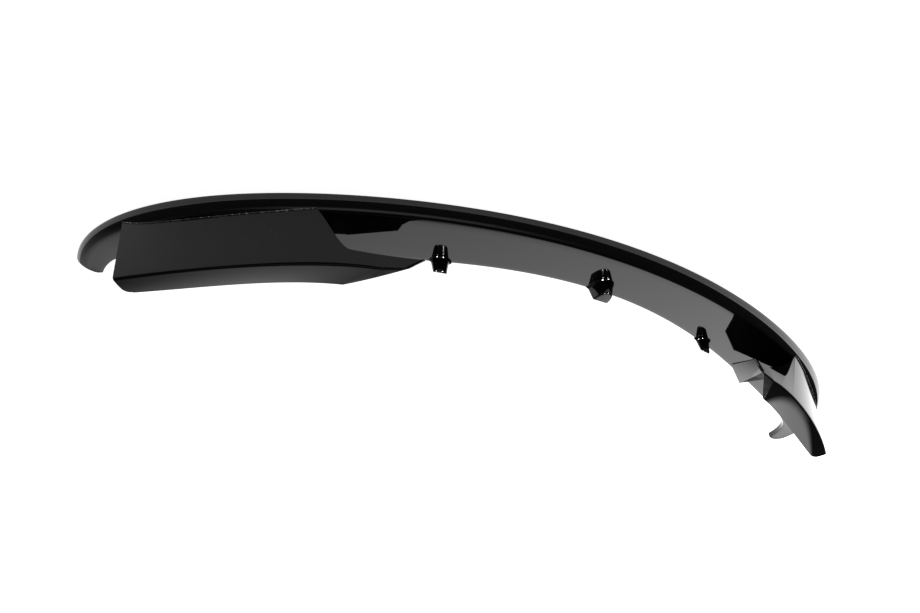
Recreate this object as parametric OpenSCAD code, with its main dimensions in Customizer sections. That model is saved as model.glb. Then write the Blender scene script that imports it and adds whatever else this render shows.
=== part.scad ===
// Front splitter lip: a thin moulded blade with a turned-down front rim, three raised
// bosses along its inner edge and a raised winglet bonded on at each end.
// Millimetres. The front points to -Y and +Z is up. The part rests on its lower flange.

/* [Blade outline] */
// Length of half the front edge, measured along its curve
front_half_length = 993.5; // [960:1020]
// How fast the front edge turns near the centre, in radians over the half length
front_turn = 0.898; // [0.85:0.005:0.94]
// Length of half the inner edge, measured along its curve
inner_half_length = 826.9; // [815:840]
// How fast the inner edge turns near the centre, in radians over the half length
inner_turn = 1.164; // [1.14:0.005:1.19]
// Depth of the blade from front edge to inner edge at the centre
centre_depth = 104; // [98:110]

/* [Blade section] */
// Wall thickness of the blade
wall = 3; // [2.4:0.1:4]
// Height of the whole rim, from the lower flange to the inner edge of the top face
rim_height = 21; // [18:25]
// How much higher the top face is behind the rim than at the inner edge
crown = 5; // [3:0.5:7]
// Height from the top face down to where the rim turns upright
rim_shoulder = 12; // [9:15]
// Distance from the front edge back to where the rounding ends
rim_round = 11; // [8:13]
// Distance from the front edge back to the flat top face
rim_width = 18; // [16:22]
// Small step down from the top face to the rounding
rim_step = 1.6; // [1:0.1:2.5]
// Width of the flange that the part rests on
foot_width = 16; // [12:20]
// Width of the blade across each end
tip_width = 43; // [36:50]
// How far the top face droops at each end
end_droop = 10; // [6:12]
// Rounding of the outer corner at each end of the blade
end_round = 13; // [8:18]

/* [Bosses] */
// Distance of each side boss from the centre, along X
boss_spacing = 273; // [255:290]
// How far the row of three bosses stands off the centre line, along X
boss_offset = -7; // [-12:12]
// Height of the bosses above the top face
boss_height = 27; // [24:34]
// Width of the side bosses above their fillet
side_boss_width = 30; // [24:36]
// Depth of the side bosses from front to inner edge
side_boss_depth = 16; // [14:24]
// Width of the centre boss above its fillet
centre_boss_width = 38; // [32:44]
// Depth of the centre boss from front to inner edge
centre_boss_depth = 38; // [30:44]
// Share of its width that a boss loses towards its top
boss_taper = 0.27; // [0.15:0.01:0.35]
// How far the back of a boss leans forward at its top
boss_lean = 5; // [2:7]
// Squareness of the boss outline: 1 is round, smaller is squarer
boss_squareness = 0.8; // [0.6:0.05:1]
// Flare of the fillet at the foot of each boss
boss_fillet = 4.5; // [2:0.5:6]
// Height of that fillet
boss_foot = 5; // [4:8]
// Rounding round the top of each boss
top_round = 3; // [2:0.5:4]

/* [Winglets] */
// Wall thickness of the winglets
skin = 3; // [2.4:0.1:4]
// Height of the winglet crease above the top face at the rear end
crease_height = 100; // [90:110]
// Height of the winglet crease above the top face at the nose
nose_height = 90; // [84:96]
// How far the bevelled front end of the shelf drops towards the nose
nose_bevel = 5; // [3:8]
// Height of the lowest point of the nose above the top face
nose_clearance = 70; // [64:76]
// Height of the notch in the lower edge above the top face
notch_height = 62; // [56:66]
// Radius of the rounded crease
crease_radius = 8; // [5:11]
// Width of the hidden bonding flange
bond_width = 14; // [10:18]
// Rounding of the inner rear corner of the shelf
shelf_round = 14; // [8:20]

/* [Nose tab] */
// Height of the lower edge of the nose tab above the top face
nose_tab_height = 38; // [32:44]

/* [Quality] */
// Steps along half of the blade
blade_steps = 38; // [24:60]
// Steps along the bonded wall of a winglet
wall_steps = 22; // [14:32]
// Steps along the free rise of its lower edge
rise_steps = 8; // [5:12]
// Steps along each part of its nose
nose_steps = 3; // [2:5]
// Steps along the bonding flange
bond_steps = 10; // [8:20]

/* [Hidden] */

// Curve shape numbers of the two plan curves, second and third order
front_bend = [front_turn, -0.652, 1.392];
inner_bend = [inner_turn, -1.793, 1.424];

// Points along a plan curve whose direction turns as an odd polynomial of its length
function turn(k, s) = (k[0] * s + k[1] * pow(s, 3) + k[2] * pow(s, 5)) * 180 / PI;
function plan(k, len, n) = [
    for (i = 0, x = 0, y = 0, a = turn(k, 0.5 / n);
         i <= n;
         x = x + cos(a) * len / n, y = y + sin(a) * len / n,
         i = i + 1, a = turn(k, (i + 0.5) / n))
    [x, y]
];
curve_steps = 160;
front_half = plan(front_bend, front_half_length, curve_steps);
inner_half = plan(inner_bend, inner_half_length, curve_steps);

// The same curves read at any share of their length, on both sides of the centre
function at(c, s) =
    let (n = len(c) - 1, t = min(abs(s), 1) * n, i = min(floor(t), n - 1), f = t - i,
         p = c[i] * (1 - f) + c[i + 1] * f)
    [sign(s) * p[0], p[1]];
function front_at(s) = at(front_half, s);

// The points below are drawn for this half length and keep their place on any other
drawn_half_length = 993.5;
reach = front_half_length / drawn_half_length;
function drawn(p) = [p[0] * reach, p[1] * reach, p[2]];

// Near its end the inner edge leaves that curve and bends round a knee to the tip
knee_share = 0.92;
knee = [753, 389] * reach;
inner_tip = front_at(1) - [tip_width, 1];
function inner_curve(s) = at(inner_half, s) + [0, centre_depth];
function tip_curve(t) =
    inner_curve(knee_share) * (1 - t) * (1 - t) + knee * 2 * t * (1 - t) + inner_tip * t * t;
function inner_at(s) =
    let (k = abs(s), p = k <= knee_share ? inner_curve(k) : tip_curve((k - knee_share) / (1 - knee_share)))
    [p[0] * (s < 0 ? -1 : 1), p[1]];

end_front = front_at(1);
shift = [0, -end_front[1] / 2, rim_height];

// Shares of the half length where the blade is cut, closer together at the rounded ends
round_share = end_round / front_half_length;
round_steps = 4;
half_shares = concat(
    [for (i = [0:blade_steps]) i / blade_steps * (1 - round_share)],
    [for (i = [1:round_steps]) 1 - round_share + round_share * sin(i * 90 / round_steps)]
);
last = len(half_shares) - 1;
shares = concat([for (i = [last:-1:1]) -half_shares[i]], half_shares);

// How far the front edge steps in where the end corner is rounded
corner_reach = end_round * 1.3;
function pull(s) =
    let (d = max(0, abs(s) - 1 + round_share) / round_share)
    corner_reach * (1 - sqrt(max(0, 1 - d * d)));

// Rounded top of the rim: distance behind the front edge and height
rise = rim_shoulder + crown - rim_step;
outer_steps = 5;
inner_steps = 3;
function rim_arc(n, grow) = [
    for (i = [0:n])
    [rim_round - (rim_round + grow) * cos(i * 90 / n), (rise + grow) * sin(i * 90 / n) - rim_shoulder]
];
foot_edge = 1.5;
lip_edge = 1.2;
function rim_outline() = concat(
    [[foot_edge, -rim_height], [0, -rim_height + foot_edge]],
    rim_arc(outer_steps, 0),
    [[(rim_round + rim_width) / 2, crown - rim_step / 3], [rim_width, crown]]
);
function lip(w) = [[w - lip_edge, 0], [w, -lip_edge], [w, -rim_height]];

// Blade section across a width, round the open channel
function channel(w) = concat(
    [[foot_width, -rim_height]],
    rim_outline(),
    lip(w),
    [[w - wall, -rim_height], [w - wall, -wall], [rim_width, crown - wall]],
    [for (i = [inner_steps:-1:0]) rim_arc(inner_steps, -wall)[i]],
    [[wall, -rim_height + wall], [foot_width, -rim_height + wall]]
);

// Filled outline of the same section, for the solid tips; a narrow tip squeezes the rim
tip_margin = 4;
function filled(w) =
    let (k = min(1, (w - tip_margin / 2) / (rim_width + tip_margin)))
    concat([for (p = rim_outline()) [p[0] * k, p[1]]], lip(w));

// A section placed across the blade at one share of its length
// and lowered towards the ends, with its foot kept level
droop_share = 0.7;
droop_power = 1.5;
function squash(s) =
    1 - end_droop / rim_height * pow(max(0, (abs(s) - droop_share) / (1 - droop_share)), droop_power);
function place(s, profile) =
    let (o = front_at(s), q = inner_at(s), d = (q - o) / norm(q - o), b = o + d * pull(s))
    [for (p = profile)
        [b[0] + d[0] * p[0], b[1] + d[1] * p[0], (p[1] + rim_height) * squash(s) - rim_height]];
function depth_at(s) = norm(inner_at(s) - front_at(s)) - pull(s);

// Closed skin over a row of sections that all have the same number of points
module skin_over(rows) {
    n = len(rows[0]);
    m = len(rows);
    side = [
        for (i = [0:m - 2]) for (j = [0:n - 1])
        [i * n + j, i * n + (j + 1) % n, (i + 1) * n + (j + 1) % n, (i + 1) * n + j]
    ];
    polyhedron(
        points = [for (r = rows) for (p = r) p],
        faces = concat([[for (j = [n - 1:-1:0]) j]], side, [[for (j = [0:n - 1]) (m - 1) * n + j]]),
        convexity = 8
    );
}

// Outline of a boss at one height: a rounded front and a flat back on the inner edge
function flare(z) = boss_fillet * pow(max(0, 1 - z / boss_foot), 2);
function boss_outline(z, width, depth, grow, round_in) =
    let (k = z / boss_height, lean = boss_taper * width / 2 * k, e = boss_squareness,
         w = width / 2 - lean + flare(z) - grow - round_in,
         b = boss_lean * k + round_in,
         d = depth - lean + flare(z) - 2 * grow - round_in - b)
    [for (a = [0:boss_angle:180]) [w * sign(cos(a)) * pow(abs(cos(a)), e), -b - d * pow(abs(sin(a)), e)]];
boss_angle = 15;
slice = 0.01;
module boss_slice(z, width, depth, grow = 0, round_in = 0) {
    translate([0, 0, z])
        linear_extrude(height = slice)
            polygon(boss_outline(max(z, 0), width, depth, grow, round_in));
}

// One raised boss: slices joined from its flared foot to its rounded top
module boss(width, depth) {
    foot = [for (k = [0.1, 0.3, 0.6, 1]) k * boss_foot];
    heights = concat([-wall / 2], foot, [boss_height - top_round]);
    for (i = [1:len(heights) - 1])
        hull() {
            boss_slice(heights[i - 1], width, depth);
            boss_slice(heights[i], width, depth);
        }
    hull() {
        boss_slice(boss_height - top_round, width, depth);
        boss_slice(boss_height - top_round / 3, width, depth, 0, top_round / 3);
        boss_slice(boss_height - slice, width, depth, 0, top_round);
    }
}
module boss_core(width, depth) {
    translate([0, -wall, 0])
        hull() {
            boss_slice(-wall - 1, width, depth, wall, boss_fillet);
            boss_slice(boss_height - wall, width, depth, wall, top_round / 3);
        }
}
boss_turn = 0.6;
module at_boss(x) {
    i = len([for (q = inner_half) if (q[0] <= abs(x)) 1]) - 1;
    between = (abs(x) - inner_half[i][0]) / (inner_half[i + 1][0] - inner_half[i][0]);
    share = sign(x) * (i + between) / (len(inner_half) - 1);
    p = inner_at(share);
    translate([p[0], p[1], 0])
        rotate([0, 0, turn(inner_bend, share) * boss_turn])
            children();
}

// Blade with its rim, solid tips and bosses
open_shares = [for (i = [round_steps:len(shares) - 1 - round_steps]) shares[i]];
module blade() {
    color([0.03, 0.03, 0.035])
        translate(shift) {
            difference() {
                union() {
                    skin_over([for (s = open_shares) place(s, channel(depth_at(s)))]);
                    for (k = [-1, 1])
                        tip_block(k);
                    at_boss(boss_offset) boss(centre_boss_width, centre_boss_depth);
                    for (k = [-1, 1])
                        at_boss(boss_offset + k * boss_spacing) boss(side_boss_width, side_boss_depth);
                }
                at_boss(boss_offset) boss_core(centre_boss_width, centre_boss_depth);
                for (k = [-1, 1])
                    at_boss(boss_offset + k * boss_spacing) boss_core(side_boss_width, side_boss_depth);
            }
        }
}
module tip_block(k) {
    tip = concat(
        [1 - round_share - wall / front_half_length],
        [for (i = [last - round_steps + 1:last]) half_shares[i]]
    );
    order = k > 0 ? tip : [for (i = [len(tip) - 1:-1:0]) -tip[i]];
    skin_over([for (s = order) place(s, filled(depth_at(s)))]);
}

// Cubic curve through the space between two end points
function bez(p, t) =
    pow(1 - t, 3) * p[0] + 3 * t * pow(1 - t, 2) * p[1] + 3 * t * t * (1 - t) * p[2] + pow(t, 3) * p[3];
function unit(v) = v / norm(v);

// Guide curves of the left winglet, from its rear end to its nose
base_sink = 4;
seat = crown - base_sink;
rear_fall = 9;
contact_line = [
    drawn([738, 285, seat - rear_fall]), drawn([655, 221, seat]),
    drawn([562, 155, seat]), drawn([482, 113, seat])
];
crease_line = [
    drawn([724, 281, crease_height]), drawn([595, 184, crease_height - 4]),
    drawn([467, 127, nose_height - 7]), drawn([378, 96, nose_height - 1])
];
shelf_line = [
    drawn([702, 302, crease_height + 4]), drawn([606, 256, crease_height - 6]),
    drawn([509, 204, nose_height - 13]), drawn([417, 159, nose_height + 2])
];
bevel_front = drawn([345, 87, nose_height - nose_bevel]);
bevel_inner = drawn([412, 156, nose_height + 1]);
nose_tip = drawn([320.5, 72, nose_clearance]);
notch = drawn([426, 104, notch_height]);
rise_curve = [contact_line[3], drawn([464, 107, 16]), drawn([446, 108, notch_height - 6]), notch];
nose_bow = 1.5;

// Shares of the winglet length where its lower edge leaves the blade, where it turns
// forward at the notch, and where the bevelled front end of the shelf starts
apex_share = 0.64;
notch_share = 0.8;
bevel_share = 0.91;
function steps(a, b, n) = [for (i = [1:n]) a + (b - a) * i / n];
winglet_shares = concat(
    [0],
    steps(0, apex_share, wall_steps),
    steps(apex_share, notch_share, rise_steps),
    steps(notch_share, bevel_share, nose_steps),
    steps(bevel_share, 1, nose_steps)
);

// Lower edge: along the blade, up the notch, then forward to the nose tip
function lower(u) =
    u <= apex_share ? bez(contact_line, u / apex_share)
    : u <= notch_share ? bez(rise_curve, (u - apex_share) / (notch_share - apex_share))
    : nose_line((u - notch_share) / (1 - notch_share));
function nose_line(t) = notch + (nose_tip - notch) * t + [0, 0, nose_bow * sin(180 * t)];

// Crease and inner edge of the shelf: a curve each, then straight along the bevel
function bevelled(line, end, u) =
    u <= bevel_share ? bez(line, u / bevel_share)
    : line[3] + (end - line[3]) * (u - bevel_share) / (1 - bevel_share);
function crease(u) = bevelled(crease_line, bevel_front, u);
function shelf(u) = bevelled(shelf_line, bevel_inner, u);

// Rounded corner at the rear inner end of the shelf, as a share of the winglet length
corner_start = 0.55;
winglet_length = 400;
function corner(u, v) =
    let (w = max(0, (v - corner_start) / (1 - corner_start)))
    u + (1 - u) * (1 - u) * shelf_round / winglet_length * (1 - sqrt(max(0, 1 - w * w)));

// Outer skin across the winglet at one share of its length
quarters = [0.25, 0.5, 0.75, 1];
function across(u) =
    let (l = lower(u), k = crease(u), s = shelf(u), a = unit(l - k), b = unit(s - k),
         r = min(crease_radius, norm(l - k) * 0.4), p = k + a * r, q = k + b * r)
    concat(
        [for (t = quarters) p + (l - p) * (1.25 - t)],
        [for (t = concat([0], quarters)) p * (1 - t) * (1 - t) + k * 2 * t * (1 - t) + q * t * t],
        [for (t = quarters) let (c = corner(u, t)) q + (shelf(c) - q) * t]
    );

// Outward direction of the skin, from its neighbours in the grid
function grid_normal(g, i, j) =
    let (m = len(g) - 1, n = len(g[0]) - 1,
         du = g[min(i + 1, m)][j] - g[max(i - 1, 0)][j],
         dv = g[i][min(j + 1, n)] - g[i][max(j - 1, 0)])
    unit(cross(dv, du));

// A sheet of even thickness behind a grid of points
module sheet(g, t) {
    m = len(g);
    n = len(g[0]);
    back = [for (i = [0:m - 1]) [for (j = [0:n - 1]) g[i][j] - grid_normal(g, i, j) * t]];
    skin_over([for (i = [m - 1:-1:0]) concat(g[i], [for (j = [n - 1:-1:0]) back[i][j]])]);
}

// Nose tab: a flat flap that hangs inward from the front edge of the nose
tab_front = drawn([341, 150, nose_tab_height]);
tab_rear = drawn([411, 200, nose_tab_height]);
tab_inset = 0.06;
function tab_point(u, v) =
    let (e = tab_inset + (1 - 2 * tab_inset) * v,
         top = nose_tip * (1 - e) + bevel_front * e, low = tab_front * (1 - v) + tab_rear * v)
    top * (1 - u) + low * u;
tab_grid = [for (u = concat([0], quarters)) [for (v = concat([0], quarters)) tab_point(u, v)]];

// Winglet on the +X side, with its bonding flange and nose tab, seated on the blade
module winglet() {
    difference() {
        winglet_shell();
        skin_over([for (s = shares) if (s > cut_share) place(s, filled(depth_at(s)))]);
    }
}
cut_share = 0.3;
module winglet_shell() {
    sheet([for (u = winglet_shares) across(u)], skin);
    bond_flange();
    sheet(tab_grid, skin);
}
bond_ends = [0.02, 0.96];
module bond_flange() {
    at_step = concat([bond_ends[0]], steps(bond_ends[0], bond_ends[1], bond_steps)) * apex_share;
    for (i = [1:bond_steps])
        hull() {
            bond_slice(at_step[i - 1]);
            bond_slice(at_step[i]);
        }
}
module bond_slice(u) {
    d = lower(u + 0.01) - lower(u - 0.01);
    translate(lower(u))
        rotate([0, 0, atan2(d[1], d[0])])
            translate([0, -bond_width, 0])
                cube([slice, bond_width - 1, base_sink + skin]);
}

module winglet_left() {
    color([0.04, 0.04, 0.045])
        translate(shift)
            winglet();
}
module winglet_right() {
    color([0.05, 0.05, 0.055])
        translate(shift)
            mirror([1, 0, 0])
                winglet();
}

blade();
winglet_left();
winglet_right();
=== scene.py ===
"""Looks of a front splitter lip: gloss black mouldings, their bonding seams and a white studio.

The shapes are worked out in millimetres, in the blade's own frame: the middle of the front
edge is at x = y = 0 and the top face is near z = 0. They turn into metres in the row frame
when a mesh is made.
"""

import math

import bpy
import numpy as np
from mathutils import Matrix, Vector


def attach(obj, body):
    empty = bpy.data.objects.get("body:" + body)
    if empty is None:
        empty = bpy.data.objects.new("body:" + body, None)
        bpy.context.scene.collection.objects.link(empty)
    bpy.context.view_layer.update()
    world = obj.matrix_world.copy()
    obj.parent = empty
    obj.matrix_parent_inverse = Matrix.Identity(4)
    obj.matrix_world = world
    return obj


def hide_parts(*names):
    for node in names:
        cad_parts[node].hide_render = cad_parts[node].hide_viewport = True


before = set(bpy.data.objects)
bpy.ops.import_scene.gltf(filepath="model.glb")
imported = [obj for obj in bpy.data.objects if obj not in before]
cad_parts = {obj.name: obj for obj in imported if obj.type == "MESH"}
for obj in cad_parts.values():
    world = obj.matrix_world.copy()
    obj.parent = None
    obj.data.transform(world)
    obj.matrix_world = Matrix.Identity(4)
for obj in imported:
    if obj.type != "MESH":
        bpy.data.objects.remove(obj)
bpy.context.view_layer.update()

# Blade outline in plan: two curves, each with a length and a bend along it
FRONT_LENGTH = 993.5
FRONT_BEND = (0.898, -0.652, 1.392)
INNER_LENGTH = 826.9
INNER_BEND = (1.164, -1.793, 1.424)
CURVE_STEPS = 2400
CENTRE_DEPTH = 104.0
KNEE_SHARE = 0.92
KNEE = np.array([753.0, 389.0])
TIP_WIDTH = 43.0
TIP_STEP = 1.0
CLOSE_STEP = 1e-5
END_ROUND = 13.0
END_PULL = 1.3
END_DROOP = 10.0
DROOP_SHARE = 0.7
DROOP_POWER = 1.5
ROUND_SHARE = END_ROUND / FRONT_LENGTH

# Blade section
WALL = 3.0
CROWN = 5.0
RIM_HEIGHT = 21.0
RIM_SHOULDER = 19.0
RIM_ROUND = 15.0
RIM_FLATNESS = 1.3
RIM_WIDTH = 18.0
RIM_STEP = 0.5
RIM_BRIDGE = ((RIM_ROUND + RIM_WIDTH) / 2, CROWN - RIM_STEP * 0.47)
RIM_END = ((RIM_WIDTH, CROWN - 0.12), (RIM_WIDTH + 1.5, CROWN - 0.02))
FOOT_WIDTH = 16.0
FOOT_POINTS = ((FOOT_WIDTH, 0.0), (1.5, 0.0), (0.45, 0.45), (0.0, 1.5))
FLAT_SHARES = (0.12, 0.3, 0.5, 0.7, 0.9)
EDGE_POINTS = ((1.6, 0.0), (0.8, 0.2), (0.2, 0.8), (0.0, 1.6))
NARROW_MARGIN = 6.0

# Bosses
BOSS_SPACING = 273.0
BOSS_OFFSET = -7.0
BOSS_HEIGHT = 27.0
BOSS_TAPER = 0.27
BOSS_LEAN = 5.0
BOSS_TURN = 0.6
BOSS_SQUARENESS = 0.95
BOSS_FILLET = 4.5
BOSS_FOOT = 5.0
BOSS_SHAFT = 8.0
BOSS_SINK = 1.5
BOSS_OVERLAP = 0.02
TOP_ROUND = 3.0
CENTRE_BOSS = (38.0, 38.0)
SIDE_BOSS = (30.0, 16.0)

# Winglets: sizes, and the shares of their length where the form changes
SKIN = 3.0
CREASE_HEIGHT = 100.0
CREASE_RADIUS = 5.5
NOSE_HEIGHT = 90.0
NOSE_BEVEL = 5.0
NOSE_CLEARANCE = 70.0
NOSE_ARCH = 1.5
NOTCH_HEIGHT = 62.0
NOTCH_DIP = 8.0
SHELF_ROUND = 14.0
SHELF_CROWN = 1.0
SHELF_LENGTH = 400.0
CORNER_SHARE = 0.55
TAB_HEIGHT = 38.0
TAB_INSET = 0.06
PAN_SKIN = 1.5
PAN_GAP = 0.5
SEAT = 1.2
APEX_SHARE = 0.64
NOTCH_SHARE = 0.8
BEVEL_SHARE = 0.91
PAN_SHARES = (APEX_SHARE, 0.72, 0.76, NOTCH_SHARE, 1.0)

# Bonding flange inside the foot of a winglet, and the bead of paste along it
BOND_WIDTH = 14.0
BOND_SHARES = (0.02, 0.97)
BOND_INSET = 1.0
SEAM_SIZE = 0.75
SEAM_LUMPS = 0.4
SEAM_GRAIN = 0.25
SEAM_FLATNESS = 0.8
SEAM_OUT = 0.3
SEAM_UP = 0.2
SEAM_WAVES = (37, 3, 91)
SEAM_SEEDS = {"left": 5, "right": 8}

# Widths of the small edge bevels, and the angles in degrees past which an edge has one or is sharp
BOSS_EDGE = 0.8
BOSS_EDGE_ANGLE = 35
WING_EDGE = 0.7
WING_EDGE_ANGLE = 50
BLADE_SHARP = 32
BOSS_SHARP = 40
WING_SHARP = 38
SEAM_SHARP = 60

# Steps of the fine surfaces
BLADE_ROWS = 360
END_STEPS = 9
RIM_STEPS = 14
HOLLOW_STEPS = 6
BOSS_STEPS = 48
FOOT_RINGS = 12
SHAFT_RINGS = 7
TOP_RINGS = 7
WALL_STEPS = 10
CREASE_STEPS = 10
SHELF_STEPS = 12
FACET_START = WALL_STEPS + 6
WING_ROWS = (
    (0, APEX_SHARE, 110),
    (APEX_SHARE, NOTCH_SHARE, 40),
    (NOTCH_SHARE, BEVEL_SHARE, 16),
    (BEVEL_SHARE, 1, 12),
)
SHEET_STEPS = 8
PAN_ROWS = 40
BOND_ROWS = 60
BOND_REACH = 0.01
SEAM_ROWS = 420
SEAM_REACH = 0.004
SEAM_STEPS = 8

# Materials
BLADE_TINT = (0.0042, 0.0042, 0.0046)
WING_TINT = (0.0035, 0.0035, 0.004)
DUST_TINT = (0.22, 0.22, 0.23)
BLADE_DUST = 0.0
WING_DUST = 0.01
BLADE_IOR = 1.37
WING_IOR = 1.26
BACK_IOR = 1.12
PEEL = 0.03

# Camera, solved from the outline in the photograph. Its angles are in degrees, its place is in
# millimetres in the blade's frame, and it sees as far as its reach in metres
CAMERA_AZIMUTH = 25.25
CAMERA_ELEVATION = 33.84
CAMERA_ROLL = 180.79
CAMERA_PLACE = (616.48, -671.56, 685.38)
CAMERA_LENS = 27.16
CAMERA_SENSOR = 36
CAMERA_REACH = 60

# Studio floor, in metres. It glows, and more strongly on the right of the picture
FLOOR_RADIUS = 14.0
FLOOR_STEPS = 64
FLOOR_LEFT = 0.9
FLOOR_RIGHT = 2.2
FLOOR_SPREAD = 0.9

# Studio walls: brightness over height, which is 0 straight down and 1 straight up, and over
# degrees round from the far side, which count up toward the right of the picture
SKY_POWER = 2.3
SKY_HEIGHT = ((0.0, 1.0), (0.885, 1.0), (0.93, 0.55), (0.985, 0.5), (0.998, 0.02))
SKY_SIDES = (
    (-180, 0.02), (-100, 0.03), (-60, 0.2), (-29, 0.4), (-8, 0.76),
    (22, 1.0), (24.5, 0.95), (27.5, 0.02), (180, 0.02),
)
GLOW_HEIGHT = ((0.78, 0.0), (0.86, 1.0), (0.924, 0.0))
GLOW_SIDES = (
    (-180, 0.5), (-164, 0.34), (-152, 0.15), (-138, 0.03), (-120, 0.0),
    (115, 0.0), (135, 0.12), (152, 0.4), (180, 0.5),
)

# Two lamps that make the white spots on the bosses, in degrees, metres and watts
SPOT_TURN = 37
SPOT_ELEVATION = 52
SPOT_DISTANCE = 2.0
SPOT_SIZE = 0.3
SPOT_POWER = 70
SPOT_AIM = (0, 0, 0.05)


# Blade outline
def bend_angle(bend, s):
    """Direction of a plan curve: an odd polynomial of its length."""
    return bend[0] * s + bend[1] * s**3 + bend[2] * s**5


def plan_curve(bend, length):
    """Points of half a plan curve, from the middle to its end at positive x."""
    s = (np.arange(CURVE_STEPS) + 0.5) / CURVE_STEPS
    a = bend_angle(bend, s)
    move = np.stack([np.cos(a), np.sin(a)], 1) * length / CURVE_STEPS
    return np.vstack([[0.0, 0.0], np.cumsum(move, axis=0)])


FRONT_HALF = plan_curve(FRONT_BEND, FRONT_LENGTH)
INNER_HALF = plan_curve(INNER_BEND, INNER_LENGTH)
SHIFT = np.array([0.0, -FRONT_HALF[-1][1] / 2, RIM_HEIGHT])


def read(curve, s):
    t = min(abs(s), 1.0) * (len(curve) - 1)
    i = min(int(t), len(curve) - 2)
    return curve[i] * (1 - t + i) + curve[i + 1] * (t - i)


def front_at(s):
    p = read(FRONT_HALF, s)
    return np.array([math.copysign(p[0], s), p[1]])


def inner_curve(s):
    return read(INNER_HALF, s) + [0, CENTRE_DEPTH]


def inner_at(s):
    """Inner edge of the blade: its curve, then a bend round the knee to the tip."""
    if abs(s) <= KNEE_SHARE:
        p = inner_curve(abs(s))
    else:
        t = (abs(s) - KNEE_SHARE) / (1 - KNEE_SHARE)
        tip = front_at(1) - [TIP_WIDTH, TIP_STEP]
        p = inner_curve(KNEE_SHARE) * (1 - t) ** 2 + KNEE * 2 * t * (1 - t) + tip * t * t
    return np.array([math.copysign(p[0], s), p[1]])


def quarter(d):
    """Drop of a quarter circle of radius 1 at the share d of its width."""
    return 1 - math.sqrt(max(0.0, 1 - d * d))


def pull(s):
    """How far the front edge steps in where the corner of each end is rounded."""
    return END_ROUND * END_PULL * quarter(max(0.0, abs(s) - 1 + ROUND_SHARE) / ROUND_SHARE)


def squash(s):
    """Height of the section, as a share, where the ends of the blade droop."""
    d = max(0.0, (abs(s) - DROOP_SHARE) / (1 - DROOP_SHARE))
    return 1 - END_DROOP / RIM_HEIGHT * d**DROOP_POWER


# Blade section, as distances from the front edge and heights over the top face
def rim_points(grow=0.0, steps=RIM_STEPS):
    """Rounded top of the rim, from its upright face to the flat top."""
    rise = RIM_SHOULDER + CROWN - RIM_STEP
    arc = []
    for t in np.linspace(0, math.pi / 2, steps + 1):
        c = max(0.0, math.cos(t)) ** RIM_FLATNESS
        s = math.sin(t) ** RIM_FLATNESS
        arc.append((RIM_ROUND - (RIM_ROUND + grow) * c, -RIM_SHOULDER + (rise + grow) * s))
    return arc


def outer_section(w):
    """Skin of the blade from the foot and up the rim, and from there to the inner edge."""
    rim = [(x, z - RIM_HEIGHT) for x, z in FOOT_POINTS] + rim_points() + [RIM_BRIDGE, *RIM_END]
    flat = [(RIM_WIDTH + (w - RIM_WIDTH) * t, CROWN * (1 - t)) for t in FLAT_SHARES]
    edge = [(w - x, -z) for x, z in EDGE_POINTS] + [(w, -RIM_HEIGHT)]
    return rim, flat + edge


def inner_section(w):
    """Hollow underside of the blade: up the inner lip, and from there back to the foot."""
    lip = [(w - WALL, -RIM_HEIGHT), (w - WALL, -WALL)]
    arc = [(RIM_WIDTH, CROWN - WALL)] + rim_points(-WALL, HOLLOW_STEPS)[::-1]
    return lip, arc + [(WALL, -RIM_HEIGHT + WALL), (FOOT_WIDTH, -RIM_HEIGHT + WALL)]


def blade_row(s, solid):
    """One section of the blade in space. In a solid tip the hollow is closed up."""
    o = front_at(s)
    q = inner_at(s)
    across = (q - o) / np.linalg.norm(q - o)
    base = o + across * pull(s)
    w = np.linalg.norm(q - o) - pull(s)
    narrow = min(1.0, (w - NARROW_MARGIN) / (RIM_WIDTH + NARROW_MARGIN))
    rim, top = outer_section(w)
    outline = [(x * narrow, z) for x, z in rim] + [(max(x, RIM_WIDTH * narrow), z) for x, z in top]
    lip, hollow = inner_section(w)
    inner = lip + [(x * narrow, z) for x, z in hollow]
    outline += [(x, -RIM_HEIGHT if solid else z) for x, z in inner]
    k = squash(s)
    return [
        (base[0] + across[0] * x, base[1] + across[1] * x, (z + RIM_HEIGHT) * k - RIM_HEIGHT)
        for x, z in outline
    ]


# Sections over which the winglets stand, for looking up the blade's height
PROBE = np.linspace(0.4, 0.98, 600)
PROBE_FRONT = np.array([front_at(s) for s in PROBE])
PROBE_REACH = np.array([inner_at(s) for s in PROBE]) - PROBE_FRONT
PROBE_WIDTH = np.linalg.norm(PROBE_REACH, axis=1)
PROBE_WAY = PROBE_REACH / PROBE_WIDTH[:, None]


def surface_at(x, y):
    """Height of the blade's skin at a place in plan."""
    r = np.array([x, y]) - PROBE_FRONT
    k = np.argmin(abs(r[:, 0] * PROBE_WAY[:, 1] - r[:, 1] * PROBE_WAY[:, 0]))
    line = np.array(rim_points() + [RIM_BRIDGE, (RIM_WIDTH, CROWN), (PROBE_WIDTH[k], 0.0)])
    z = np.interp(r[k] @ PROBE_WAY[k], line[:, 0], line[:, 1])
    return (z + RIM_HEIGHT) * squash(PROBE[k]) - RIM_HEIGHT


# Guide curves of the left winglet
def bez(p, t):
    return (1 - t) ** 3 * p[0] + 3 * t * (1 - t) ** 2 * p[1] + 3 * t * t * (1 - t) * p[2] + t**3 * p[3]


def unit(v):
    return v / np.linalg.norm(v)


def points(*rows):
    return np.array(rows, float)


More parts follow.
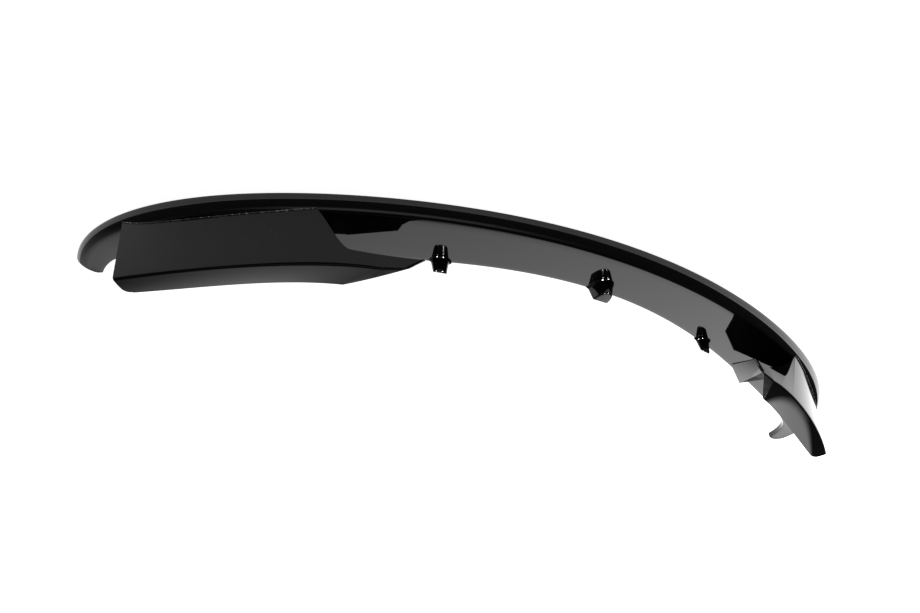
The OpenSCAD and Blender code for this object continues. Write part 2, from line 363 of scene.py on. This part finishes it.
CONTACT = points((738, 285, -4), (655, 221, CROWN), (562, 155, CROWN), (482, 113, CROWN))
NOTCH = np.array([426, 107.5, NOTCH_HEIGHT])
RISE = points(CONTACT[3] - [0, 0, 4], (464, 111, 14), (446, 113, NOTCH_HEIGHT - NOTCH_DIP), NOTCH)
TIP = np.array([320.5, 76.5, NOSE_CLEARANCE - 3])
CREASE = points(
    (724, 281, CREASE_HEIGHT), (595, 184, CREASE_HEIGHT - 4),
    (467, 127, NOSE_HEIGHT - 7), (378, 96, NOSE_HEIGHT - 1),
)
SHELF = points(
    (702, 302, CREASE_HEIGHT + 4), (606, 256, CREASE_HEIGHT - 6),
    (509, 204, NOSE_HEIGHT - 13), (417, 159, NOSE_HEIGHT - 1),
)
BEVEL_FRONT = np.array([345, 87, NOSE_HEIGHT - NOSE_BEVEL])
BEVEL_INNER = np.array([412, 156, NOSE_HEIGHT - 2])
TAB_LOW = points((341, 150, TAB_HEIGHT), (411, 200, TAB_HEIGHT))
PAN_INNER = points((509, 172, 7), (447, 170, 9), (431, 184, 23), TAB_LOW[1], TAB_LOW[0])


def contact(t):
    """Line where the outer wall of a winglet meets the blade, from the rear to the apex."""
    p = bez(CONTACT, t)
    return np.array([p[0], p[1], surface_at(p[0], p[1])])


def along_foot(t, d):
    """Level direction of that line, taken over a step d to each side."""
    return unit((contact(min(t + d, 1)) - contact(max(t - d, 0))) * [1, 1, 0])


def lower(u):
    """Lower edge of a winglet: along the blade, up the notch, forward to the nose tip."""
    if u <= APEX_SHARE:
        return contact(u / APEX_SHARE) - [0, 0, SEAT]
    if u <= NOTCH_SHARE:
        return bez(RISE, (u - APEX_SHARE) / (NOTCH_SHARE - APEX_SHARE))
    t = (u - NOTCH_SHARE) / (1 - NOTCH_SHARE)
    return NOTCH + (TIP - NOTCH) * t + [0, 0, NOSE_ARCH * math.sin(math.pi * t)]


def bevelled(line, end, u):
    """A guide curve up to the nose's bevel, then straight to the end of the bevel."""
    if u <= BEVEL_SHARE:
        return bez(line, u / BEVEL_SHARE)
    return line[3] + (end - line[3]) * (u - BEVEL_SHARE) / (1 - BEVEL_SHARE)


def corner(u, v):
    """Share of the length, moved forward where the rear corner of the shelf is rounded."""
    w = max(0.0, (v - CORNER_SHARE) / (1 - CORNER_SHARE))
    return u + (1 - u) ** 2 * SHELF_ROUND / SHELF_LENGTH * quarter(w)


def wing_row(u):
    """Outer skin of a winglet across one share of its length: wall, crease and shelf."""
    low = lower(u)
    k = bevelled(CREASE, BEVEL_FRONT, u)
    p = k + unit(low - k) * CREASE_RADIUS
    q = k + unit(bevelled(SHELF, BEVEL_INNER, u) - k) * CREASE_RADIUS
    row = [low + (p - low) * t for t in np.linspace(0, 1, WALL_STEPS + 1)[:-1]]
    for t in np.linspace(0, 1, CREASE_STEPS + 1):
        row.append(p * (1 - t) ** 2 + k * 2 * t * (1 - t) + q * t * t)
    for t in np.linspace(0, 1, SHELF_STEPS + 1)[1:]:
        end = bevelled(SHELF, BEVEL_INNER, corner(u, t))
        row.append(q + (end - q) * t + [0, 0, SHELF_CROWN * 4 * t * (1 - t)])
    return row


# Meshes
def add_piece(name, verts, faces, materials, kinds, sharp):
    """A mesh object in the row frame, smooth apart from edges past the sharp angle."""
    mesh = bpy.data.meshes.new(name)
    mesh.from_pydata(((np.array(verts, float) + SHIFT) / 1000).tolist(), [], faces)
    mesh.validate()
    mesh.polygons.foreach_set("use_smooth", [True] * len(mesh.polygons))
    mesh.set_sharp_from_angle(angle=math.radians(sharp))
    for material in materials:
        mesh.materials.append(material)
    mesh.polygons.foreach_set("material_index", kinds)
    piece = bpy.data.objects.new(name, mesh)
    bpy.context.collection.objects.link(piece)
    return piece


def bevel(piece, width, angle):
    m = piece.modifiers.new("edge", "BEVEL")
    m.width = width / 1000
    m.segments = 3
    m.limit_method = "ANGLE"
    m.angle_limit = math.radians(angle)
    m.harden_normals = True


def loft(rows):
    """Points and faces of a closed skin over rows of equal length, with flat ends."""
    n = len(rows[0])
    verts = [p for r in rows for p in r]
    faces = []
    for i in range(0, len(verts) - n, n):
        for j in range(n):
            k = (j + 1) % n
            faces.append((i + j, i + k, i + n + k, i + n + j))
    faces.append(tuple(range(n - 1, -1, -1)))
    faces.append(tuple(range(len(verts) - n, len(verts))))
    return verts, faces


def mirrored(verts, faces):
    return [(-x, y, z) for x, y, z in verts], [f[::-1] for f in faces]


def sheet(grid, thickness):
    """A sheet of even thickness behind a grid of points. Its kinds are 0 in front, 1 behind."""
    g = np.array(grid, float)
    normal = np.cross(np.gradient(g, axis=1), np.gradient(g, axis=0))
    normal /= np.linalg.norm(normal, axis=2)[:, :, None] + 1e-12
    back = g - normal * thickness
    verts, faces = loft([list(g[i]) + list(back[i][::-1]) for i in range(len(g) - 1, -1, -1)])
    n = g.shape[1]
    skins = (len(g) - 1) * 2 * n
    kinds = [int(k < skins and n <= k % (2 * n) < 2 * n - 1) for k in range(len(faces))]
    return verts, faces, kinds


# Materials
def nodes_of(name):
    """A new material, its node tree, its shader and its object coordinates."""
    m = bpy.data.materials.new(name)
    m.use_nodes = True
    t = m.node_tree
    return m, t, t.nodes["Principled BSDF"], t.nodes.new("ShaderNodeTexCoord").outputs["Object"]


def noise(tree, coord, scale, detail=2.0, rough=0.5, stretch=(1, 1, 1)):
    m = tree.nodes.new("ShaderNodeMapping")
    m.inputs["Scale"].default_value = stretch
    n = tree.nodes.new("ShaderNodeTexNoise")
    n.inputs["Scale"].default_value = scale
    n.inputs["Detail"].default_value = detail
    n.inputs["Roughness"].default_value = rough
    tree.links.new(coord, m.inputs["Vector"])
    tree.links.new(m.outputs["Vector"], n.inputs["Vector"])
    return n.outputs["Fac"]


def ramp(tree, fac, stops):
    """A grey that follows a value through stops of place and brightness."""
    r = tree.nodes.new("ShaderNodeValToRGB")
    e = r.color_ramp.elements
    while len(e) < len(stops):
        e.new(0.5)
    for k, (place, value) in enumerate(stops):
        e[k].position = place
        e[k].color = (value, value, value, 1)
    tree.links.new(fac, r.inputs["Fac"])
    return r.outputs["Color"]


def calculate(tree, kind, *values):
    """A sum, product or angle of node outputs and plain numbers."""
    m = tree.nodes.new("ShaderNodeMath")
    m.operation = kind
    for socket, value in zip(m.inputs, values):
        if isinstance(value, float):
            socket.default_value = value
        else:
            tree.links.new(value, socket)
    return m.outputs["Value"]


def relief(tree, shader, height, strength, distance):
    bump = tree.nodes.new("ShaderNodeBump")
    bump.inputs["Strength"].default_value = strength
    bump.inputs["Distance"].default_value = distance
    tree.links.new(height, bump.inputs["Height"])
    tree.links.new(bump.outputs["Normal"], shader.inputs["Normal"])


def gloss_black(name, tint, dust, ior):
    """Polished black plastic with orange peel, hairline scratches and settled dust."""
    m, t, shader, coord = nodes_of(name)
    specks = ramp(t, noise(t, coord, 900, 1.0), [(0.0, 0.0), (0.775 - dust, 0.0), (0.80 - dust, 1.0)])
    patches = ramp(t, noise(t, coord, 6, 3.0), [(0.45, 0.0), (0.7, 1.0)])
    grains = calculate(t, "MULTIPLY", specks, patches)
    scratch = ramp(t, noise(t, coord, 70, 4.0, 0.7, (1, 14, 3)), [(0.62, 0.0), (0.7, 1.0)])
    cloud = ramp(t, noise(t, coord, 11, 4.0, 0.6), [(0.3, 0.022), (0.75, 0.05)])
    colour = t.nodes.new("ShaderNodeMix")
    colour.data_type = "RGBA"
    colour.inputs["A"].default_value = (*tint, 1)
    colour.inputs["B"].default_value = (*DUST_TINT, 1)
    t.links.new(grains, colour.inputs["Factor"])
    t.links.new(colour.outputs["Result"], shader.inputs["Base Color"])
    rough = calculate(t, "ADD", cloud, calculate(t, "MULTIPLY", scratch, 0.03))
    rough = calculate(t, "ADD", rough, calculate(t, "MULTIPLY", grains, 0.4))
    t.links.new(rough, shader.inputs["Roughness"])
    wave = calculate(t, "MULTIPLY", noise(t, coord, 34, 1.0), 0.6)
    grain = calculate(t, "MULTIPLY", noise(t, coord, 420, 2.0), 0.08)
    relief(t, shader, calculate(t, "ADD", wave, grain), PEEL, 0.0005)
    shader.inputs["IOR"].default_value = ior
    return m


def satin_black(name):
    """Unpolished back of the moulding: fine grain and flow marks. It also covers the facet at the end
    of the nose, as a painted dark reflection.
    """
    m, t, shader, coord = nodes_of(name)
    flow = ramp(t, noise(t, coord, 9, 4.0, 0.6, (1, 3, 1)), [(0.3, 0.002), (0.7, 0.006)])
    rough = ramp(t, noise(t, coord, 40, 5.0, 0.6), [(0.3, 0.34), (0.7, 0.55)])
    t.links.new(flow, shader.inputs["Base Color"])
    t.links.new(rough, shader.inputs["Roughness"])
    relief(t, shader, noise(t, coord, 1500, 2.0), 0.25, 0.0002)
    shader.inputs["IOR"].default_value = BACK_IOR
    return m


def adhesive(name):
    """Dark bonding paste with pale crumbs, which are partly real flecks and partly a painted highlight
    along the foot of the wall.
    """
    m, t, shader, coord = nodes_of(name)
    # Pale crumbs: real flecks in the paste, and also a painted highlight that lightens the thin bead
    # into a light line
    pale_crumbs_and_highlight = ramp(t, noise(t, coord, 330, 3.0, 0.7), [(0.52, 0.03), (0.6, 0.3), (0.66, 0.8)])
    rough = ramp(t, noise(t, coord, 200, 3.0), [(0.3, 0.25), (0.7, 0.6)])
    t.links.new(pale_crumbs_and_highlight, shader.inputs["Base Color"])
    t.links.new(rough, shader.inputs["Roughness"])
    relief(t, shader, noise(t, coord, 500, 3.0), 0.6, 0.0004)
    return m


def pale_floor(name):
    """White floor whose glow grows from one side of the picture to the other."""
    m, t, shader, coord = nodes_of(name)
    cloud = ramp(t, noise(t, coord, 3, 3.0), [(0.3, 0.93), (0.7, 0.95)])
    t.links.new(cloud, shader.inputs["Base Color"])
    shader.inputs["Roughness"].default_value = 0.9
    shader.inputs["Emission Color"].default_value = (1, 1, 1, 1)
    place = t.nodes.new("ShaderNodeSeparateXYZ")
    t.links.new(coord, place.inputs["Vector"])
    across = calculate(t, "MULTIPLY_ADD", place.outputs["X"], -0.5 / FLOOR_SPREAD, 0.5)
    faint = FLOOR_LEFT / FLOOR_RIGHT
    glow = ramp(t, across, [(0.0, faint), (0.6, faint), (1.0, 1.0)])
    t.links.new(calculate(t, "MULTIPLY", glow, FLOOR_RIGHT), shader.inputs["Emission Strength"])
    return m


BLADE_GLOSS = gloss_black("blade_gloss_black", BLADE_TINT, BLADE_DUST, BLADE_IOR)
WING_GLOSS = gloss_black("winglet_gloss_black", WING_TINT, WING_DUST, WING_IOR)
# Dull back of the moulding, and also the painted dark reflection on the nose facet
BACK_AND_DARK_FACET = satin_black("moulded_back")
SEAM = adhesive("bonding_paste")


# Blade
def make_blade():
    plain = np.linspace(0, 1 - ROUND_SHARE, BLADE_ROWS // 2)
    tip = 1 - ROUND_SHARE + ROUND_SHARE * np.sin(np.linspace(0, math.pi / 2, END_STEPS + 1))[1:]
    half = [*plain, plain[-1] + CLOSE_STEP, *tip]
    solid_from = plain[-1] + CLOSE_STEP / 2
    rows = [blade_row(s, abs(s) > solid_from) for s in [-s for s in half[:0:-1]] + half]
    verts, faces = loft(rows)
    n = len(rows[0])
    skin = len(sum(outer_section(CENTRE_DEPTH), [])) - 1
    kinds = [int(k < len(verts) - n and k % n >= skin) for k in range(len(faces))]
    piece = add_piece("blade_skin", verts, faces, [BLADE_GLOSS, BACK_AND_DARK_FACET], kinds, BLADE_SHARP)
    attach(piece, "root")
    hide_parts("blade")


# Bosses, in a collection of their own for the lamps that light them alone
BOSSES = bpy.data.collections.new("bosses")


def boss_outline(z, width, depth, inset=0.0):
    """Nearly half an ellipse, forward of the blade's inner edge, with a taper and a flared foot."""
    k = z / BOSS_HEIGHT
    lean = BOSS_TAPER * width / 2 * k
    flare = BOSS_FILLET * max(0.0, 1 - z / BOSS_FOOT) ** 2
    w = width / 2 - lean + flare - inset
    back = BOSS_LEAN * k + inset
    d = depth - lean + flare - inset - back
    outline = []
    for a in np.linspace(0, math.pi, BOSS_STEPS):
        c = math.cos(a)
        x = w * math.copysign(abs(c) ** BOSS_SQUARENESS, c)
        outline.append((x, -back - d * abs(math.sin(a)) ** BOSS_SQUARENESS, z))
    return outline


def make_boss(name, x, width, depth):
    share = np.interp(abs(x), INNER_HALF[:, 0], np.linspace(0, 1, len(INNER_HALF)))
    p = inner_at(math.copysign(share, x))
    turn = math.copysign(bend_angle(INNER_BEND, share), x) * BOSS_TURN
    top = BOSS_HEIGHT - TOP_ROUND
    levels = [*np.linspace(0, BOSS_FOOT, FOOT_RINGS), *np.linspace(BOSS_SHAFT, top, SHAFT_RINGS)]
    rings = [boss_outline(z, width, depth) for z in levels]
    rings.insert(0, [(q[0], q[1], -BOSS_SINK) for q in rings[0]])
    for a in np.linspace(0, math.pi / 2, TOP_RINGS + 1)[1:]:
        z = top + TOP_ROUND * math.sin(a)
        rings.append(boss_outline(z, width, depth, TOP_ROUND * (1 - math.cos(a))))
    c = math.cos(turn)
    s = math.sin(turn)
    base = p[1] - BOSS_OVERLAP
    rows = [[(p[0] + c * q[0] - s * q[1], base + s * q[0] + c * q[1], q[2]) for q in r] for r in rings]
    verts, faces = loft(rows)
    piece = add_piece(name, verts, faces, [BLADE_GLOSS], [0] * len(faces), BOSS_SHARP)
    bevel(piece, BOSS_EDGE, BOSS_EDGE_ANGLE)
    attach(piece, "root")
    BOSSES.objects.link(piece)


# Winglets
def wing_shell():
    """Wall, crease and shelf. The small facet at the end of the nose takes the dull back material: a
    painted dark reflection that makes it render black.
    """
    shares = [0.0] + [u for a, b, n in WING_ROWS for u in np.linspace(a, b, n + 1)[1:]]
    grid = [wing_row(u) for u in shares]
    verts, faces, kinds = sheet(grid, SKIN)
    n = len(grid[0])
    # Painted dark reflection: the faces of the nose facet take the dull back material so that they
    # render black
    for k in range(WING_ROWS[-1][2] * 2 * n):
        if FACET_START <= k % (2 * n) < n - 1:
            kinds[k] = 1
    return verts, faces, kinds


def nose_tab():
    """Tab that is bent in from the end of the nose."""
    rows = []
    for i in np.linspace(0, 1, SHEET_STEPS + 1):
        row = []
        for j in np.linspace(0, 1, SHEET_STEPS + 1):
            e = TAB_INSET + (1 - 2 * TAB_INSET) * j
            top = TIP * (1 - e) + BEVEL_FRONT * e
            low = TAB_LOW[0] * (1 - j) + TAB_LOW[1] * j
            row.append(top * (1 - i) + low * i)
        rows.append(row)
    return sheet(rows, SKIN)


def nose_pan():
    """Sheet that closes the nose from below, from the notch to the foot of the tab."""
    rows = []
    for u in np.linspace(APEX_SHARE, 1, PAN_ROWS):
        outer = lower(u) + [0, 3 * PAN_GAP, PAN_GAP]
        inner = np.array([np.interp(u, PAN_SHARES, PAN_INNER[:, k]) for k in range(3)])
        inner += [0, -2 * PAN_GAP, PAN_GAP]
        rows.append([outer + (inner - outer) * t for t in np.linspace(0, 1, SHEET_STEPS + 1)])
    verts, faces, kinds = sheet(rows, PAN_SKIN)
    return verts, faces, [1] * len(kinds)


def flange():
    """Bonding flange that lies on the blade inside the foot of the wall."""
    rows = []
    for t in np.linspace(*BOND_SHARES, BOND_ROWS):
        p = contact(t)
        d = along_foot(t, BOND_REACH)
        side = np.array([d[1], -d[0], 0])
        a = p + side * BOND_INSET - [0, 0, SEAT]
        b = p + side * BOND_WIDTH
        b[2] = surface_at(b[0], b[1]) - SEAT
        lift = np.array([0, 0, SEAT + SKIN])
        rows.append([a, b, b + lift, a + lift])
    verts, faces = loft(rows)
    return verts, faces, [1] * len(faces)


def make_winglet(side, sign):
    verts = []
    faces = []
    kinds = []
    for part_verts, part_faces, part_kinds in (wing_shell(), nose_tab(), nose_pan(), flange()):
        if sign < 0:
            part_verts, part_faces = mirrored(part_verts, part_faces)
        faces += [tuple(len(verts) + k for k in face) for face in part_faces]
        verts += part_verts
        kinds += part_kinds
    piece = add_piece("winglet_skin_" + side, verts, faces, [WING_GLOSS, BACK_AND_DARK_FACET], kinds, WING_SHARP)
    bevel(piece, WING_EDGE, WING_EDGE_ANGLE)
    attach(piece, "root")
    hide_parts("winglet_" + side)


def make_seam(side, sign):
    """Uneven bead of bonding paste along the foot of the outer wall."""
    rng = np.random.default_rng(SEAM_SEEDS[side])
    first, swing, second = SEAM_WAVES
    rows = []
    for t in np.linspace(0.0, 1.0, SEAM_ROWS):
        ahead = along_foot(t, SEAM_REACH)
        out = np.array([-ahead[1], ahead[0], 0])
        wave = abs(math.sin(first * t + swing * math.sin(second * t)))
        lump = SEAM_SIZE + SEAM_LUMPS * wave + SEAM_GRAIN * rng.random()
        c = contact(t) + out * SEAM_OUT + [0, 0, SEAM_UP]
        row = []
        for a in np.linspace(0, 2 * math.pi, SEAM_STEPS, endpoint=False):
            row.append(c + out * lump * math.cos(a) + [0, 0, lump * SEAM_FLATNESS * math.sin(a)])
        rows.append(row)
    verts, faces = loft(rows)
    if sign < 0:
        verts, faces = mirrored(verts, faces)
    piece = add_piece("bond_seam_" + side, verts, faces, [SEAM], [0] * len(faces), SEAM_SHARP)
    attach(piece, "root")


# Studio
def direction(azimuth, elevation):
    """Unit vector from the part toward a place in the room. Azimuth 0 is in front of the part."""
    az = math.radians(azimuth)
    el = math.radians(elevation)
    return Vector((math.sin(az) * math.cos(el), -math.cos(az) * math.cos(el), math.sin(el)))


def place_camera():
    """Camera of the photograph, which shows the part upside down."""
    back = direction(CAMERA_AZIMUTH, CAMERA_ELEVATION)
    level = (-back).cross(Vector((0, 0, 1))).normalized()
    upright = level.cross(-back)
    roll = math.radians(CAMERA_ROLL)
    right = math.cos(roll) * level + math.sin(roll) * upright
    up = math.cos(roll) * upright - math.sin(roll) * level
    place = (Vector(CAMERA_PLACE) + Vector(SHIFT)) / 1000
    data = bpy.data.cameras.new("photo_view")
    data.lens = CAMERA_LENS
    data.sensor_width = CAMERA_SENSOR
    data.clip_end = CAMERA_REACH
    camera = bpy.data.objects.new("photo_view", data)
    bpy.context.collection.objects.link(camera)
    camera.matrix_world = Matrix.Translation(place) @ Matrix((right, up, back)).transposed().to_4x4()
    bpy.context.scene.camera = camera


def make_floor():
    verts = [(0, 0, 0)]
    for k in range(FLOOR_STEPS):
        a = 2 * math.pi * k / FLOOR_STEPS
        verts.append((FLOOR_RADIUS * math.cos(a), FLOOR_RADIUS * math.sin(a), 0))
    mesh = bpy.data.meshes.new("floor")
    mesh.from_pydata(verts, [], [(0, 1 + k, 1 + (k + 1) % FLOOR_STEPS) for k in range(FLOOR_STEPS)])
    mesh.materials.append(pale_floor("pale_floor"))
    floor = bpy.data.objects.new("floor", mesh)
    bpy.context.collection.objects.link(floor)


def add_spot(name, azimuth):
    """Area light that faces the part and shines on the bosses alone."""
    way = direction(azimuth, SPOT_ELEVATION)
    data = bpy.data.lights.new(name, "AREA")
    data.shape = "RECTANGLE"
    data.size = SPOT_SIZE
    data.size_y = SPOT_SIZE
    data.energy = SPOT_POWER
    spot = bpy.data.objects.new(name, data)
    spot.location = Vector(SPOT_AIM) + way * SPOT_DISTANCE
    spot.rotation_euler = way.to_track_quat("Z", "Y").to_euler()
    bpy.context.collection.objects.link(spot)
    spot.visible_diffuse = False
    spot.light_linking.receiver_collection = BOSSES


def studio_sky():
    """Bright wall on the far side of the part, and a faint glow high up behind the camera."""
    world = bpy.data.worlds.new("studio")
    world.use_nodes = True
    t = world.node_tree
    coord = t.nodes.new("ShaderNodeTexCoord").outputs["Generated"]
    split = t.nodes.new("ShaderNodeSeparateXYZ")
    t.links.new(coord, split.inputs["Vector"])
    rise = calculate(t, "MULTIPLY_ADD", split.outputs["Z"], 0.5, 0.5)
    az = math.radians(CAMERA_AZIMUTH)
    ways = []
    for x, y in ((-math.cos(az), -math.sin(az)), (-math.sin(az), math.cos(az))):
        dot = t.nodes.new("ShaderNodeVectorMath")
        dot.operation = "DOT_PRODUCT"
        dot.inputs[1].default_value = (x, y, 0)
        t.links.new(coord, dot.inputs[0])
        ways.append(dot.outputs["Value"])
    turn = calculate(t, "MULTIPLY_ADD", calculate(t, "ARCTAN2", *ways), 0.5 / math.pi, 0.5)
    parts = []
    for heights, sides in ((SKY_HEIGHT, SKY_SIDES), (GLOW_HEIGHT, GLOW_SIDES)):
        side = ramp(t, turn, [(0.5 + a / 360, v) for a, v in sides])
        parts.append(calculate(t, "MULTIPLY", ramp(t, rise, heights), side))
    background = t.nodes["Background"]
    t.links.new(calculate(t, "ADD", *parts), background.inputs["Color"])
    background.inputs["Strength"].default_value = SKY_POWER
    bpy.context.scene.world = world


make_blade()
make_boss("boss_centre", BOSS_OFFSET, *CENTRE_BOSS)
make_boss("boss_left", BOSS_OFFSET + BOSS_SPACING, *SIDE_BOSS)
make_boss("boss_right", BOSS_OFFSET - BOSS_SPACING, *SIDE_BOSS)
for side, sign in (("left", 1), ("right", -1)):
    make_winglet(side, sign)
    make_seam(side, sign)
place_camera()
make_floor()
studio_sky()
add_spot("spot_a", CAMERA_AZIMUTH - SPOT_TURN)
add_spot("spot_b", CAMERA_AZIMUTH + SPOT_TURN)
bpy.context.scene.view_settings.view_transform = "Standard"
